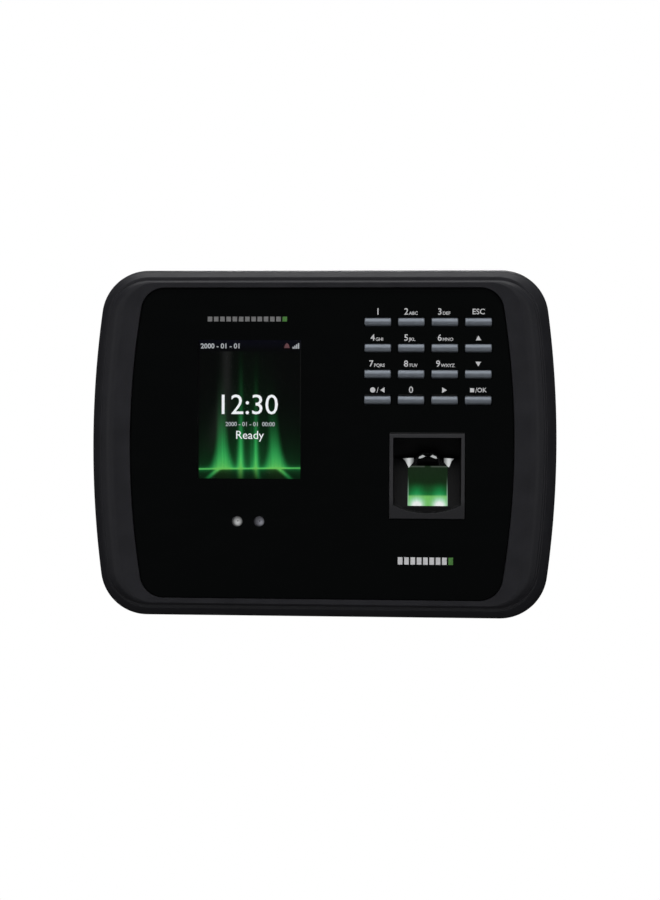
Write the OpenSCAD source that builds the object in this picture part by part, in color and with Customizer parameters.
// Wall-mounted fingerprint and face attendance terminal.
// +X is to the right, -Y is out of the front, +Z is up. The origin is the middle of
// the back face, on the wall. A "depth" is a distance out from the wall, along -Y.

/* [Case] */
// Half the width of the case where its two halves meet
case_half_w = 98.5; // [97:0.1:99.5]
// Half the height of the case where its two halves meet
case_half_h = 73.5; // [72.5:0.1:74.5]
// Depth from the wall to the crest of the bezel
case_depth = 34; // [34:0.1:36]
// Depth of the joint between the rear cover and the front housing
parting_depth = 14; // [13:0.1:15]
// Radius of the outward bow of the left and right sides
side_bow_r = 420; // [380:10:500]
// Corner radius of the case, seen from the front
corner_r = 20; // [18:0.5:21]
// Thickness of the plastic walls
wall = 2.5; // [2:0.1:2.8]

/* [Front panel] */
// Half the width of the glossy panel
panel_half_w = 79.4; // [78.5:0.1:80]
// Half the height of the glossy panel
panel_half_h = 64.25; // [63.5:0.05:64.8]
// Corner radius of the panel
panel_corner_r = 10; // [8:0.5:12]
// Radius of the outward bow of the panel's sides
panel_bow_r = 350; // [320:10:400]
// Thickness of the panel
panel_t = 2; // [1.5:0.1:2.2]
// How far the panel's face lies behind the bezel's crest
panel_drop = 1; // [0.8:0.1:1.4]

/* [Display] */
// Height of the middle of the picture above the panel's middle
screen_z = 14; // [13:0.1:15]
// Place of the middle of the picture, left of the panel's middle
screen_x = -30; // [-31:0.1:-29]
// Width and height of the picture
screen_size = [43.2, 57.6]; // [40:0.1:60]
// Width and height of the display module
lcd_size = [50, 69.2]; // [48:0.1:72]

/* [Keypad] */
// Distance between key columns
key_pitch_x = 13.8; // [13.4:0.05:14.2]
// Distance between key rows
key_pitch_z = 10.76; // [10.4:0.02:11]
// Place of the middle of the keypad
keypad_mid = [44.1, 34.2]; // [30:0.1:50]
// Width and height of one key
key_size = [10.8, 3.5]; // [3:0.1:11]
// How far a key stands out of the panel
key_proud = 0.8; // [0.8:0.1:1]
// How far a key travels when it is pressed
key_travel = 0.8; // [0.5:0.1:0.8]
// Gap between a key and the slots around it
key_gap = 0.25; // [0.2:0.05:0.3]

/* [Fingerprint reader] */
// Middle of the reader's frame
reader_mid = [44, -13.4]; // [-20:0.1:50]
// Outer width and height of the reader's frame
reader_size = [31.1, 35.2]; // [30:0.1:36]
// Width of the frame's rim
reader_rim = 1.5; // [1.2:0.1:1.8]
// Width and height of the glass, seen from the front
glass_size = [16.5, 16.4]; // [15:0.1:17]
// Tilt of the glass: its top lies deeper
glass_tilt = 19; // [17:0.5:20]

/* [Wall plate] */
// Width and height of the steel wall plate
plate_size = [140, 120]; // [110:1:142]
// Thickness of the wall plate
plate_t = 1.5; // [1.2:0.1:1.5]
// Distances between the wall plate's four screw holes, across and up
plate_hole_spacing = [100, 80]; // [60:1:104]
// Radius of the wall plate's screw holes
plate_hole_r = 2.3; // [2:0.1:2.5]

/* [Hidden] */
$fn = 48;
eps = 0.01;
fit = 0.1;
flex_t = 0.3;

// Depths of the layers behind the panel
panel_front = case_depth - panel_drop;
panel_back = panel_front - panel_t;
tape_t = 0.3;
face_front = panel_back - tape_t;
face_back = face_front - wall;
board_t = 1.6;
keypad_front = face_back - 2.2;
main_front = 18.6;
main_back = main_front - board_t;
camera_front = 24.2;
floor_in = wall;
pad_in = plate_t + wall;

// Screws: thread and head radii
small_r = 1;
small_head_r = 1.9;
m3_r = 1.45;
m3_head_r = 2.8;
thread_gap = 0.06;

// Key names, by row from the top left
key_rows = [
    ["key_1", "key_2", "key_3", "key_esc"],
    ["key_4", "key_5", "key_6", "key_up"],
    ["key_7", "key_8", "key_9", "key_down"],
    ["key_left", "key_0", "key_right", "key_ok"]
];
key_z0 = keypad_mid[1] + 1.5 * key_pitch_z;
key_x0 = keypad_mid[0] - 1.5 * key_pitch_x;
key_flange = 0.9;
keypad_board_size = [62, 49];
keypad_screw_spacing = [56.4, 43.6];

lcd_mid = [screen_x, screen_z - 2];
lcd_glass_t = 1.4;
backlight_t = 2.6;
bracket_t = 0.8;
bracket_size = [62, 70.5];
bracket_mid = [lcd_mid[0], lcd_mid[1] + 0.65];
bracket_screw_spacing = [56, 60];
bracket_back = face_front - lcd_glass_t - backlight_t - bracket_t;

lens_x = [-34.6, -25.5];
lens_z = -32.5;
lens_window_r = 2.2;
lens_barrel_r = 2.8;
led_x = [-43, -17];
led_z = [-36, -29];
led_r = 1.5;
camera_board_size = [34, 18];
camera_mid = [-30, -33.8];
camera_screw_x = 14.6;
camera_screw_z = -40.6;

recess_back = 22.5;
ramp_low = [reader_mid[1] - 12.8, case_depth - 2.4];
ramp_top_z = reader_mid[1] + 7.8;
glass_mid = [reader_mid[0] + 0.3, reader_mid[1] - 4];
lip_r = 30.6;
stop_r = 6.2;
stop_wall = 1.8;
insert_inset = 1.25;
shell_size = [35, 39.2];
shell_t = 1.5;
shell_back = 7;
flange_size = [48, 39.2];
shell_screw_spacing = [41.5, 24];

main_lo = [-62, -58];
main_hi = [22, 20];
main_post_inset = 4;
bay_lo = [-31, -36];
bay_hi = [31, -6];
jack_mid = [-20, -21];
jack_size = [16, 14];
jack_hole = [12, 9];
jack_back = 4.6;
power_mid = [-3.5, -20.5];
power_size = [9.4, 11];
power_back = 5.5;
terminal_rows_z = [-29, -18];
terminal_x = [2.2, 24.8];
terminal_back = 8;
usb_mid_x = -45;
usb_size = [14.4, 7];
usb_hole = [12.6, 5.2];
usb_z = [-67.4, -54];
usb_gap = 0.5;
usb_mid_depth = main_front + usb_size[1] / 2;
cell_mid = [-46, 4];
shield_lo = [-26, -2];
shield_hi = [12, 17];
tamper_at = [12, -46];
tamper_r = 1.5;
reset_at = [-46, -30];
reset_r = 1.7;
hook_x = 35;
hook_z = 34;
tab_x = 6;
tab_front = 10;
lock_screw_depth = 6.2;
lock_seat_z = -case_half_h + 4.2;
lock_slide = 3;
case_screw_at = [80, 54];
speaker_mid = [-81.2, -4];
speaker_size = [15, 36];
grille_slots = 8;

// ---- Outlines ----

// Points of a quarter outline: half the bowed side, then the corner
side_steps = 4;
corner_steps = 9;

function corner_mid(half_w, half_h, bow_r, r) = [
    half_w - bow_r + sqrt((bow_r - r) ^ 2 - (half_h - r) ^ 2), half_h - r];

function quarter(half_w, half_h, bow_r, r) =
    let (mid = corner_mid(half_w, half_h, bow_r, r),
         turn = atan2(mid[1], mid[0] - half_w + bow_r))
    concat(
        [for (i = [0:side_steps - 1]) let (a = turn * i / side_steps)
            [half_w - bow_r + bow_r * cos(a), bow_r * sin(a)]],
        [for (i = [0:corner_steps]) let (a = turn + (90 - turn) * i / corner_steps)
            [mid[0] + r * cos(a), mid[1] + r * sin(a)]]);

// Closed outline, anticlockwise seen from the front
function bowed(half_w, half_h, bow_r, r) =
    let (q = quarter(half_w, half_h, bow_r, r), n = len(q))
    concat(
        q,
        [for (i = [n - 1:-1:0]) [-q[i][0], q[i][1]]],
        [for (i = [1:n - 1]) [-q[i][0], -q[i][1]]],
        [for (i = [n - 1:-1:1]) [q[i][0], -q[i][1]]]);

function ring(s) = [for (p = bowed(s[1], s[2], s[3], s[4])) [p[0], -s[0], p[1]]];

module rounded(size, r) {
    square([size[0] - 2 * r, size[1]], center = true);
    square([size[0], size[1] - 2 * r], center = true);
    for (x = [-1, 1]) {
        for (z = [-1, 1]) {
            translate([x * (size[0] / 2 - r), z * (size[1] / 2 - r)]) circle(r);
        }
    }
}

// ---- Solids placed by depth ----

// A flat outline made solid between two depths
module slab(from, to) {
    translate([0, -from, 0]) rotate([90, 0, 0]) linear_extrude(to - from) children();
}

module plate_at(mid, size, from, to, r = 0.5) {
    slab(from, to) translate(mid) rounded(size, r);
}

module rod(at, from, to, r) {
    translate([at[0], -from, at[1]]) rotate([90, 0, 0]) cylinder(h = to - from, r = r);
}

module block(x, z, depth) {
    translate([x[0], -depth[1], z[0]]) cube([x[1] - x[0], depth[1] - depth[0], z[1] - z[0]]);
}

// An outline drawn as [z, depth], made solid across x
module across(x, points) {
    translate([x[0], 0, 0]) rotate([0, 90, 0]) linear_extrude(x[1] - x[0])
        polygon([for (p = points) [-p[0], -p[1]]]);
}

// A pan-head screw whose head bears on "seat"; the head lies towards the wall
module screw(at, seat, tip, r, head_r) {
    head_t = head_r * 0.65;
    rod(at, seat - eps, tip, r);
    difference() {
        rod(at, seat - head_t, seat, head_r);
        rod(at, seat - head_t - eps, seat - head_t * 0.45, head_r * 0.42, $fn = 6);
    }
}

module at_corners(mid, spacing) {
    for (x = [-0.5, 0.5]) {
        for (z = [-0.5, 0.5]) {
            translate([mid[0] + x * spacing[0], 0, mid[1] + z * spacing[1]]) children();
        }
    }
}

// Triangles between each ring and the next, for "spans" pairs of rings
function skin(spans, rings, n) = [
    for (k = [0:spans - 1]) for (i = [0:n - 1])
        let (j = (i + 1) % n, a = k * n, b = ((k + 1) % rings) * n)
        each [[a + i, b + i, b + j], [a + i, b + j, a + j]]];

// Shell between rings that run round its section and close on themselves
module ring_loft(sections) {
    n = len(ring(sections[0]));
    m = len(sections);
    polyhedron(points = [for (s = sections) each ring(s)], faces = skin(m, m, n));
}

// Solid through rings from the wall outwards, with flat ends
module solid_loft(sections) {
    n = len(ring(sections[0]));
    m = len(sections);
    polyhedron(
        points = [for (s = sections) each ring(s)],
        faces = concat(
            skin(m - 1, m, n),
            [[for (i = [0:n - 1]) i]],
            [[for (i = [n - 1:-1:0]) (m - 1) * n + i]]));
}

// A bent strip: its path, then the same path moved sideways by its thickness
function unit(v) = v / norm(v);
function sideways(v) = [-v[1], v[0]];
function corner_shift(path, i) =
    let (before = unit(path[max(i, 1)] - path[max(i, 1) - 1]),
         next = min(i, len(path) - 2),
         after = unit(path[next + 1] - path[next]),
         shift = sideways(unit(before + after)))
    shift / (shift * sideways(before));
function strip(path, t) = concat(
    path,
    [for (i = [len(path) - 1:-1:0]) path[i] + t * corner_shift(path, i)]);

// ---- Case ----

// Each section: depth, half width, half height, side bow radius, corner radius
w = case_half_w;
h = case_half_h;
bezel_sections = [
    [parting_depth, w, h, side_bow_r, corner_r],
    [parting_depth + 4, w - 0.3, h - 0.3, side_bow_r, corner_r],
    [parting_depth + 10, w - 2.3, h - 1.8, side_bow_r, corner_r - 1],
    [case_depth - 4, w - 5.3, h - 4, side_bow_r - 5, corner_r - 2.5],
    [case_depth - 2.8, w - 6.2, h - 4.9, side_bow_r - 8, corner_r - 3.2],
    [case_depth - 0.8, w - 9.2, h - 5.9, side_bow_r - 20, corner_r - 5],
    [case_depth, w - 12.1, h - 6.7, side_bow_r - 35, corner_r - 7],
    [case_depth - 0.6, panel_half_w + 0.4, panel_half_h + 0.35, panel_bow_r, panel_corner_r],
    [face_back + 0.4, panel_half_w + 0.4, panel_half_h + 0.35, panel_bow_r, panel_corner_r],
    [face_back + 0.4, w - 10, h - 7, side_bow_r - 20, corner_r - 5],
    [parting_depth + 10, w - 5.3, h - 4.5, side_bow_r - 5, corner_r - 2.5],
    [parting_depth, w - wall, h - wall, side_bow_r - wall, corner_r - wall]
];

module key_outline(grow) {
    for (row = [0:3]) {
        for (column = [0:3]) {
            translate([key_x0 + column * key_pitch_x, key_z0 - row * key_pitch_z])
                rounded([key_size[0] + 2 * grow, key_size[1] + 2 * grow], 0.6);
        }
    }
}

module shroud_outline(grow) {
    translate([(lens_x[0] + lens_x[1]) / 2, lens_z])
        rounded([18.4 + 2 * grow, 8 + 2 * grow], 3);
}

module led_holes(r) {
    for (x = led_x) {
        for (z = led_z) {
            translate([x, z]) circle(r);
        }
    }
}

module front_housing() color("#202024") {
    difference() {
        union() {
            ring_loft(bezel_sections);
            slab(face_back, face_front) polygon(bowed(w - 9.5, h - 6.6, side_bow_r - 20, corner_r - 5));
            at_corners([0, 0], 2 * case_screw_at) rod([0, 0], parting_depth + 0.2, face_back + eps, 4);
            at_corners(keypad_mid, keypad_screw_spacing) rod([0, 0], keypad_front, face_back + eps, 2.2);
            at_corners(bracket_mid, bracket_screw_spacing)
                rod([0, 0], bracket_back + bracket_t, face_back + eps, 2.3);
            for (x = [-1, 1]) {
                rod([camera_mid[0] + x * camera_screw_x, camera_screw_z], camera_front, face_back + eps, 2.1);
            }
        }
        slab(face_back - 1, face_front + 1) {
            key_outline(key_gap);
            translate(lcd_mid) rounded(lcd_size + [0.6, 0.6], 1);
            translate(reader_mid) rounded(reader_size - [2.3, 2.3], 1);
            shroud_outline(fit);
            led_holes(led_r + 0.3);
        }
        at_corners([0, 0], 2 * case_screw_at)
            rod([0, 0], parting_depth - 1, face_back - 1, m3_r + thread_gap);
        at_corners(keypad_mid, keypad_screw_spacing)
            rod([0, 0], keypad_front - 1, face_front - 0.8, small_r + thread_gap);
        at_corners(bracket_mid, bracket_screw_spacing)
            rod([0, 0], bracket_back - 1, face_front - 0.8, small_r + thread_gap);
        at_corners(reader_mid, shell_screw_spacing)
            rod([0, 0], face_back - 1, face_front - 0.5, small_r + thread_gap);
        for (x = [-1, 1]) {
            rod([camera_mid[0] + x * camera_screw_x, camera_screw_z], camera_front - 1, face_front - 0.8,
                small_r + thread_gap);
        }
        block([usb_mid_x - usb_hole[0] / 2 - usb_gap, usb_mid_x + usb_hole[0] / 2 + usb_gap],
            [-h - 1, usb_z[0] + 0.4],
            [usb_mid_depth - usb_hole[1] / 2 - usb_gap, usb_mid_depth + usb_hole[1] / 2 + usb_gap]);
    }
}

module main_posts() {
    for (x = [main_lo[0] + main_post_inset, main_hi[0] - main_post_inset]) {
        for (z = [main_lo[1] + main_post_inset, main_hi[1] - main_post_inset]) {
            translate([x, 0, z]) children();
        }
    }
}

module rear_cover() color("#1b1b1e") {
    lip_w = case_half_w - 3.5;
    lip_h = case_half_h - 3.5;
    difference() {
        union() {
            difference() {
                solid_loft([
                    [0, w - 6, h - 6, side_bow_r - 6, corner_r - 6],
                    [1.5, w - 4.5, h - 4.5, side_bow_r - 4.5, corner_r - 4.5],
                    [parting_depth - 6, w - 1.5, h - 1.5, side_bow_r - 1.5, corner_r - 1.5],
                    [parting_depth, w, h, side_bow_r, corner_r]]);
                solid_loft([
                    [floor_in, w - 8, h - 8, side_bow_r - 8, corner_r - 8],
                    [parting_depth + 1, w - wall, h - wall, side_bow_r - wall, corner_r - wall]]);
            }
            slab(parting_depth - 4, parting_depth + 1.6) difference() {
                polygon(bowed(lip_w, lip_h, side_bow_r, corner_r - 3.5));
                polygon(bowed(lip_w - 1.5, lip_h - 1.5, side_bow_r, corner_r - 5));
            }
            plate_at([0, -lock_slide / 2], plate_size + [6, 6 + lock_slide], floor_in - eps, pad_in, 4);
            at_corners([0, 0], 2 * case_screw_at) rod([0, 0], floor_in - eps, parting_depth, 4.2);
            main_posts() rod([0, 0], pad_in - eps, main_back, 3);
        }
        plate_at([0, -lock_slide / 2], plate_size + [1, 1 + lock_slide], -1, plate_t, 4);
        plate_at((bay_lo + bay_hi) / 2, bay_hi - bay_lo, -1, pad_in + 1, 2);
        at_corners([0, 0], 2 * case_screw_at) {
            rod([0, 0], -1, 3, m3_head_r + 0.4);
            rod([0, 0], 2, parting_depth + 1, m3_r + 0.25);
        }
        main_posts() rod([0, 0], main_back - 7, main_back + 1, small_r + thread_gap);
        for (x = [-hook_x, hook_x]) {
            block([x - 6, x + 6], [hook_z - lock_slide - 0.3, hook_z + plate_t + 0.3], [0, pad_in + 1]);
        }
        block([-tab_x - 1, tab_x + 1],
            [-plate_size[1] / 2 - lock_slide - 0.3, -plate_size[1] / 2 + plate_t + 0.5], [0, pad_in + 1]);
        translate([0, -lock_screw_depth, -h - 1]) cylinder(h = 12, r = m3_r + 0.25);
        translate([0, -lock_screw_depth, -h - 1]) cylinder(h = lock_seat_z + h + 1, r = m3_head_r + 0.3);
        rod(tamper_at, 0, pad_in + 1, tamper_r + 0.5);
        rod(reset_at, 0, pad_in + 1, 1);
        for (i = [0:grille_slots - 1]) {
            plate_at([speaker_mid[0], speaker_mid[1] + (i - (grille_slots - 1) / 2) * 3.6], [9, 1.4], -1,
                floor_in + 1, 0.6);
        }
    }
}

module case_screws() color("#8c8c90")
    at_corners([0, 0], 2 * case_screw_at) screw([0, 0], 3, 24, m3_r, m3_head_r);

module wall_plate() color("#9a9ca0") {
    foot_z = -plate_size[1] / 2;
    difference() {
        union() {
            plate_at([0, 0], plate_size, 0, plate_t, 4);
            for (x = [-hook_x, hook_x]) {
                block([x - 5, x + 5], [hook_z, hook_z + plate_t], [plate_t - eps, pad_in + 1]);
                block([x - 5, x + 5], [hook_z, hook_z + plate_t + lock_slide],
                    [pad_in + 0.5, pad_in + 0.5 + plate_t]);
            }
            block([-tab_x, tab_x], [foot_z, foot_z + plate_t], [plate_t - eps, tab_front]);
        }
        plate_at((bay_lo + bay_hi) / 2, bay_hi - bay_lo, -1, plate_t + 1, 2);
        at_corners([0, 0], plate_hole_spacing) rod([0, 0], -1, plate_t + 1, plate_hole_r);
        rod(tamper_at, -1, plate_t + 1, tamper_r + 0.6);
        translate([0, -lock_screw_depth, foot_z - 1]) cylinder(h = plate_t + 2, r = m3_r + thread_gap);
    }
}

module security_screw() color("#b8babd") {
    head_t = 1.8;
    difference() {
        union() {
            translate([0, -lock_screw_depth, lock_seat_z - eps]) cylinder(h = 14, r = m3_r);
            translate([0, -lock_screw_depth, lock_seat_z - head_t]) cylinder(h = head_t, r = m3_head_r);
        }
        translate([0, -lock_screw_depth, lock_seat_z - head_t - eps]) cylinder(h = 1.2, r = 1.2, $fn = 6);
    }
}

// ---- Front panel and display ----

module front_panel() color("#060807") {
    difference() {
        slab(panel_back, panel_front)
            polygon(bowed(panel_half_w, panel_half_h, panel_bow_r, panel_corner_r - 0.4));
        slab(panel_back - 1, panel_front + 1) {
            key_outline(key_gap);
            translate(reader_mid) rounded(reader_size + [0.4, 0.4], 0.6);
        }
    }
}

module panel_tape() color("#303034") {
    slab(face_front, panel_back) difference() {
        polygon(bowed(panel_half_w - 0.6, panel_half_h - 0.6, panel_bow_r, panel_corner_r - 1));
        translate(keypad_mid) rounded([4 * key_pitch_x + 2, 4 * key_pitch_z], 1);
        translate(lcd_mid) rounded(lcd_size + [1, 1], 1);
        translate(reader_mid) rounded(reader_size + [1, 1], 1);
        translate(camera_mid + [0, 1.3]) rounded([30, 12], 2);
    }
}

module lcd_gasket() color("#26262a") {
    slab(face_front, panel_back) difference() {
        translate(lcd_mid) rounded(lcd_size, 1);
        translate([screen_x, screen_z]) square(screen_size + [2, 2], center = true);
    }
}

module lcd_glass() color("#101820")
    plate_at(lcd_mid, lcd_size, face_front - lcd_glass_t, face_front, 0.4);

module lcd_backlight() color("#e8e8e4")
    plate_at(lcd_mid, lcd_size, face_front - lcd_glass_t - backlight_t, face_front - lcd_glass_t, 0.8);

module lcd_bracket() color("#a8aaac") {
    difference() {
        plate_at(bracket_mid, bracket_size, bracket_back, bracket_back + bracket_t, 3);
        at_corners(bracket_mid, bracket_screw_spacing)
            rod([0, 0], bracket_back - 1, bracket_back + bracket_t + 1, small_r + 0.2);
        plate_at(lcd_mid, [26, 34], bracket_back - 1, bracket_back + bracket_t + 1, 3);
    }
}

module lcd_screws() color("#8c8c90")
    at_corners(bracket_mid, bracket_screw_spacing)
        screw([0, 0], bracket_back, face_front - 1, small_r, small_head_r);

module lcd_flex() color("#c07a28") {
    foot = lcd_mid[1] - lcd_size[1] / 2;
    start = face_back - 0.8;
    rest = main_front + 0.05;
    across([screen_x - 10, screen_x + 10], strip([
        [foot, start], [foot - 0.6, start], [foot - 0.6, rest + 0.7],
        [foot + 0.1, rest], [foot + 8, rest]], flex_t));
}

// ---- Cameras ----

module camera_board() color("#1c5a34") {
    difference() {
        plate_at(camera_mid, camera_board_size, camera_front - board_t, camera_front, 1);
        for (x = [-1, 1]) {
            rod([camera_mid[0] + x * camera_screw_x, camera_screw_z], camera_front - board_t - 1,
                camera_front + 1, small_r + 0.2);
        }
    }
}

module camera_screws() color("#8c8c90") {
    for (x = [-1, 1]) {
        screw([camera_mid[0] + x * camera_screw_x, camera_screw_z], camera_front - board_t, face_front - 1,
            small_r, small_head_r);
    }
}

module camera_shroud() color("#141416") {
    difference() {
        slab(face_back, face_front + tape_t) shroud_outline(0);
        for (x = lens_x) {
            rod([x, lens_z], face_back - 1, face_front - 0.4, lens_barrel_r + fit);
            rod([x, lens_z], face_back, panel_back + 1, lens_window_r);
        }
    }
}

module camera_lens(x) {
    rod([x, lens_z], camera_front, camera_front + 2, 4);
    rod([x, lens_z], camera_front + 2 - eps, face_front - 0.6, lens_barrel_r);
}

module camera_lens_visible() color("#3a3c44") camera_lens(lens_x[0]);

module camera_lens_infrared() color("#2c2e3a") camera_lens(lens_x[1]);

module infrared_leds() color("#4a2a58") {
    for (x = led_x) {
        for (z = led_z) {
            rod([x, z], camera_front, face_front - 1.6, led_r);
            translate([x, -(face_front - 1.6), z]) sphere(led_r);
        }
    }
}

// ---- Keypad ----

module key(row, column) color("#b4b6ba") {
    mid = [key_x0 + column * key_pitch_x, key_z0 - row * key_pitch_z];
    flange_back = face_back - 0.1 - key_flange;
    plate_at(mid, key_size, flange_back, panel_front + key_proud, 0.5);
    plate_at(mid, key_size + [1.6, 1.6], flange_back, face_back - 0.1, 0.8);
}

module keypad_mat() color("#8a8c90") {
    web_t = 0.3;
    difference() {
        union() {
            plate_at(keypad_mid, keypad_board_size - [1, 1], keypad_front, keypad_front + web_t, 2);
            for (row = [0:3]) {
                for (column = [0:3]) {
                    plate_at([key_x0 + column * key_pitch_x, key_z0 - row * key_pitch_z], [7, 2.6],
                        keypad_front, face_back - key_flange - 0.15, 1);
                }
            }
        }
        at_corners(keypad_mid, keypad_screw_spacing) rod([0, 0], keypad_front - 1, keypad_front + 2, 2.4);
    }
}

module keypad_board() color("#1c5a34") {
    difference() {
        plate_at(keypad_mid, keypad_board_size, keypad_front - board_t, keypad_front, 1.5);
        at_corners(keypad_mid, keypad_screw_spacing)
            rod([0, 0], keypad_front - board_t - 1, keypad_front + 1, small_r + 0.2);
    }
}

module keypad_screws() color("#8c8c90")
    at_corners(keypad_mid, keypad_screw_spacing)
        screw([0, 0], keypad_front - board_t, face_front - 1, small_r, small_head_r);

module keypad_ribbon() color("#d0d0cc") {
    start = keypad_front - board_t - 0.05;
    rest = main_front + flex_t + 0.05;
    across([18.1, 21.9], strip([
        [17, start], [13.4, start], [6.8, rest], [0, rest]], flex_t));
}

// ---- Fingerprint reader ----

function ramp_depth(z) = ramp_low[1] - (z - ramp_low[0]) * tan(glass_tilt);

module reader_recess() {
    inner_w = reader_size[0] - 2 * reader_rim;
    top_z = reader_mid[1] + reader_size[1] / 2 - reader_rim - 0.1;
    front = case_depth + 2;
    intersection() {
        across([reader_mid[0] - inner_w / 2, reader_mid[0] + inner_w / 2], [
            [top_z, front], [top_z, recess_back], [ramp_top_z, recess_back],
            [ramp_top_z, ramp_depth(ramp_top_z)], ramp_low, [ramp_low[0] - 3, ramp_low[1] + 0.4],
            [ramp_low[0] - 3, front]]);
        rod([reader_mid[0], reader_mid[1] + 15.2], recess_back - 1, front, lip_r, $fn = 96);
    }
}

module fingerprint_frame() color("#3c3c40") {
    insert = reader_size - 2 * [insert_inset, insert_inset];
    back = recess_back - 2;
    insert_foot = reader_mid[1] - insert[1] / 2;
    insert_top = reader_mid[1] + insert[1] / 2;
    opening = (glass_size + [fit, fit]) / 2;
    difference() {
        union() {
            plate_at(reader_mid, reader_size, face_front + 0.1, panel_front + 0.3, 0.5);
            plate_at(reader_mid, insert, back, face_front + 0.2, 0.8);
        }
        reader_recess();
        across([glass_mid[0] - 13, glass_mid[0] + 13], [
            [insert_foot + 1.5, back - 1], [insert_foot + 1.5, ramp_low[1] - 2.6],
            [ramp_top_z - 1, recess_back - 1.5], [insert_top - 6, recess_back - 1.5],
            [insert_top - 6, back - 1]]);
        block([glass_mid[0] - opening[0], glass_mid[0] + opening[0]],
            [glass_mid[1] - opening[1], glass_mid[1] + opening[1]], [back - 1, case_depth]);
    }
    // Arched stop that the fingertip meets above the glass
    stop_at = [glass_mid[0], glass_mid[1] + glass_size[1] / 2];
    intersection() {
        difference() {
            rod(stop_at, recess_back - 1, recess_back + 5.5, stop_r);
            rod(stop_at, recess_back - 2, recess_back + 6, stop_r - stop_wall);
        }
        block([stop_at[0] - 10, stop_at[0] + 10], [stop_at[1] + 0.3, stop_at[1] + 10], [recess_back - 1, 30]);
    }
}

module fingerprint_prism() color("#2a8a3a") {
    low_z = glass_mid[1] - glass_size[1] / 2;
    top_z = glass_mid[1] + glass_size[1] / 2;
    across([glass_mid[0] - glass_size[0] / 2, glass_mid[0] + glass_size[0] / 2], [
        [low_z, ramp_depth(low_z) - 0.25], [top_z, ramp_depth(top_z) - 0.25], [top_z, recess_back - 2.2],
        [low_z + 9, 15], [low_z, 19]]);
}

module fingerprint_led_board() color("#1c5a34") {
    z = glass_mid[1] - glass_size[1] / 2 - 1.9;
    block([glass_mid[0] - 9, glass_mid[0] + 9], [z - 1, z], [10.5, 20]);
    for (i = [-1.5:1.5]) {
        block([glass_mid[0] + i * 4.6 - 1.4, glass_mid[0] + i * 4.6 + 1.4], [z - eps, z + 0.9], [15.5, 18.5]);
    }
}

module fingerprint_imager() color("#202226") {
    mid = [glass_mid[0], glass_mid[1] + 2];
    plate_at(mid, [15, 15], shell_back + shell_t, shell_back + shell_t + 1.2, 0.6);
    rod(mid, shell_back + shell_t + 1, shell_back + shell_t + 4.6, 3.6);
}

module fingerprint_shell() color("#18181a") {
    difference() {
        union() {
            plate_at(reader_mid, shell_size, shell_back, face_back, 1.5);
            plate_at(reader_mid, flange_size, face_back - 1.6, face_back, 2);
        }
        plate_at(reader_mid, shell_size - [3, 3], shell_back + shell_t, case_depth, 1);
        at_corners(reader_mid, shell_screw_spacing) rod([0, 0], face_back - 3, face_back + 1, small_r + 0.2);
    }
}

module fingerprint_screws() color("#8c8c90")
    at_corners(reader_mid, shell_screw_spacing)
        screw([0, 0], face_back - 1.6, face_front - 0.7, small_r, small_head_r);

module fingerprint_cable() color("#c8c8c4") {
    end_x = reader_mid[0] - shell_size[0] / 2;
    rest = main_front + 0.05;
    translate([0, 0, -18]) linear_extrude(8) polygon(strip([
        [end_x, -rest - 2], [end_x - 2, -rest - 2], [main_hi[0] - 3, -rest], [main_hi[0] - 10, -rest]],
        flex_t));
}

// ---- Main board ----

module main_board() color("#1c5a34") {
    difference() {
        plate_at((main_lo + main_hi) / 2, main_hi - main_lo, main_back, main_front, 2);
        main_posts() rod([0, 0], main_back - 1, main_front + 1, small_r + 0.2);
    }
}

module main_board_screws() color("#8c8c90") {
    head_t = small_head_r * 0.65;
    main_posts() difference() {
        union() {
            rod([0, 0], main_back - 5, main_front + eps, small_r);
            rod([0, 0], main_front, main_front + head_t, small_head_r);
        }
        rod([0, 0], main_front + head_t * 0.45, main_front + head_t + eps, small_head_r * 0.42, $fn = 6);
    }
}

module processor_shield() color("#b4b6b8") {
    mid = (shield_lo + shield_hi) / 2;
    size = shield_hi - shield_lo;
    difference() {
        plate_at(mid, size, main_back - 3, main_back, 0.8);
        plate_at(mid, size - [0.8, 0.8], main_back - 2.6, main_back + 1, 0.5);
        for (x = [-2:2]) {
            for (z = [-1:1]) {
                rod(mid + [x * 6, z * 5], main_back - 4, main_back - 2, 0.8);
            }
        }
    }
}

module network_socket() color("#b0b2b4") {
    difference() {
        plate_at(jack_mid, jack_size, jack_back, main_back, 0.4);
        plate_at(jack_mid, jack_hole, jack_back - 1, main_back - 1.2, 0.3);
        plate_at(jack_mid + [0, -jack_hole[1] / 2], [4, 3.4], jack_back - 1, jack_back + 7, 0.3);
    }
    // Spring contacts
    for (i = [0:7]) {
        translate([jack_mid[0] + (i - 3.5) * 1.02, -main_back + 2, jack_mid[1] + jack_hole[1] / 2])
            rotate([-118, 0, 0]) translate([-0.2, 0, -0.4]) cube([0.4, 0.5, 4.4]);
    }
}

module usb_socket() color("#b0b2b4") {
    x = [usb_mid_x - usb_size[0] / 2, usb_mid_x + usb_size[0] / 2];
    hole_x = [usb_mid_x - usb_hole[0] / 2, usb_mid_x + usb_hole[0] / 2];
    hole_depth = [usb_mid_depth - usb_hole[1] / 2, usb_mid_depth + usb_hole[1] / 2];
    difference() {
        block(x, usb_z, [main_front, main_front + usb_size[1]]);
        block(hole_x, [usb_z[0] - 1, usb_z[1] - 1.5], hole_depth);
    }
    // Tongue that carries the contacts
    block([hole_x[0] + 0.8, hole_x[1] - 0.8], [usb_z[0] + 1, usb_z[1] - 1],
        [hole_depth[0] + 0.6, hole_depth[0] + 2.4]);
}

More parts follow.
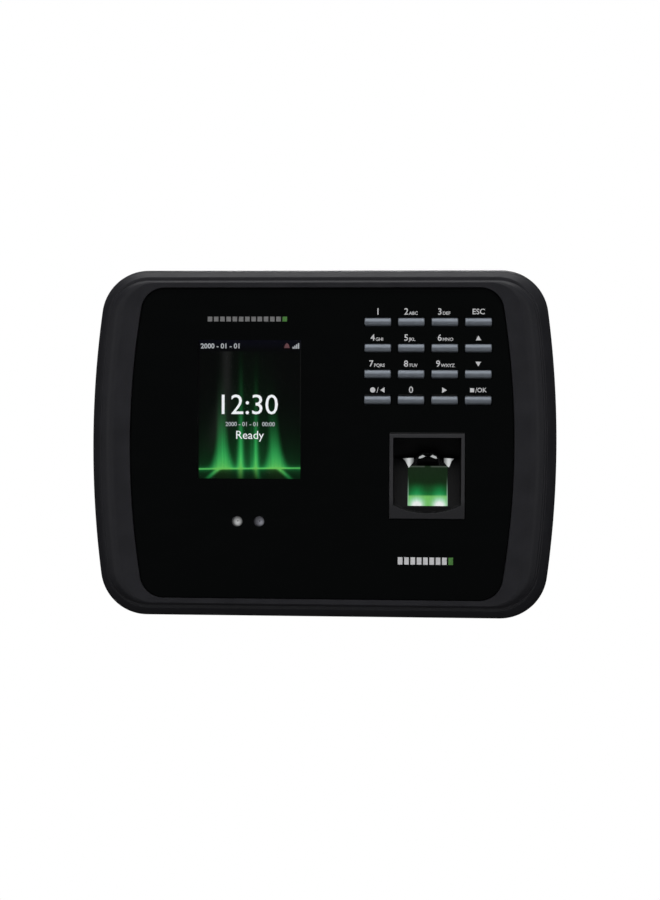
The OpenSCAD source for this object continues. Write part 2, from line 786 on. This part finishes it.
module power_jack() color("#161618") {
    difference() {
        plate_at(power_mid, power_size, power_back, main_back, 0.6);
        rod(power_mid, power_back - 1, main_back - 2, 3.2);
    }
    rod(power_mid, power_back + 1.5, main_back - 1, 1);
}

module terminal_blocks() color("#2f7a3f") {
    pitch = 3.5;
    poles = 6;
    row_h = 7.4;
    for (z = terminal_rows_z) {
        difference() {
            block(terminal_x, [z - row_h / 2, z + row_h / 2], [terminal_back, main_back]);
            for (i = [0:poles - 1]) {
                at = [(terminal_x[0] + terminal_x[1]) / 2 + (i - (poles - 1) / 2) * pitch, z];
                rod(at + [0, 1.7], terminal_back - 1, terminal_back + 2.2, 1.2);
                block([at[0] - 1.2, at[0] + 1.2], [z - 3, z - 0.6], [terminal_back - 1, terminal_back + 5]);
            }
        }
    }
}

module coin_cell_holder() color("#1e1e20") {
    difference() {
        union() {
            rod(cell_mid, main_back - 4.4, main_back, 11.4);
            plate_at(cell_mid, [26, 8], main_back - 4.4, main_back, 1);
        }
        rod(cell_mid, main_back - 5, main_back - 0.9, 10.1);
        block([cell_mid[0] - 4, cell_mid[0] + 4], [cell_mid[1] + 8, cell_mid[1] + 14],
            [main_back - 5, main_back - 0.9]);
    }
}

module coin_cell() color("#c4c6c8") {
    rod(cell_mid, main_back - 4.1, main_back - 1.2, 10);
    rod(cell_mid, main_back - 1.3, main_back - 0.95, 8.8);
}

module speaker() color("#1c1c1e") {
    difference() {
        plate_at(speaker_mid, speaker_size, floor_in + 0.2, floor_in + 6, 4);
        plate_at(speaker_mid, speaker_size - [3, 3], floor_in - 1, floor_in + 1.4, 3);
    }
    plate_at(speaker_mid, [9, 24], floor_in + 6 - eps, floor_in + 8.5, 2);
}

module tamper_switch() color("#26262a") {
    difference() {
        plate_at(tamper_at, [7, 7], main_back - 7.5, main_back, 0.5);
        rod(tamper_at, main_back - 9, main_back - 3, tamper_r + fit);
    }
}

module tamper_plunger() color("#b43a2c")
    rod(tamper_at, 0, main_back - 4.6, tamper_r);

module reset_switch() color("#2a2a2e") {
    difference() {
        plate_at(reset_at, [6.2, 6.2], main_back - 3.6, main_back, 0.4);
        rod(reset_at, main_back - 5, main_back - 1.6, reset_r + fit);
    }
}

module reset_button() color("#c8a028")
    rod(reset_at, main_back - 5.2, main_back - 2.2, reset_r);

// ---- Assembly ----

front_housing();
rear_cover();
case_screws();
wall_plate();
security_screw();
front_panel();
panel_tape();
lcd_gasket();
lcd_glass();
lcd_backlight();
lcd_bracket();
lcd_screws();
lcd_flex();
camera_board();
camera_shroud();
camera_lens_visible();
camera_lens_infrared();
infrared_leds();
camera_screws();
keypad_mat();
keypad_board();
keypad_screws();
keypad_ribbon();
fingerprint_frame();
fingerprint_prism();
fingerprint_led_board();
fingerprint_imager();
fingerprint_shell();
fingerprint_screws();
fingerprint_cable();
main_board();
main_board_screws();
processor_shield();
network_socket();
usb_socket();
power_jack();
terminal_blocks();
coin_cell_holder();
coin_cell();
speaker();
tamper_switch();
tamper_plunger();
reset_switch();
reset_button();
for (row = [0:3]) {
    for (column = [0:3]) {
        key(row, column);
    }
}
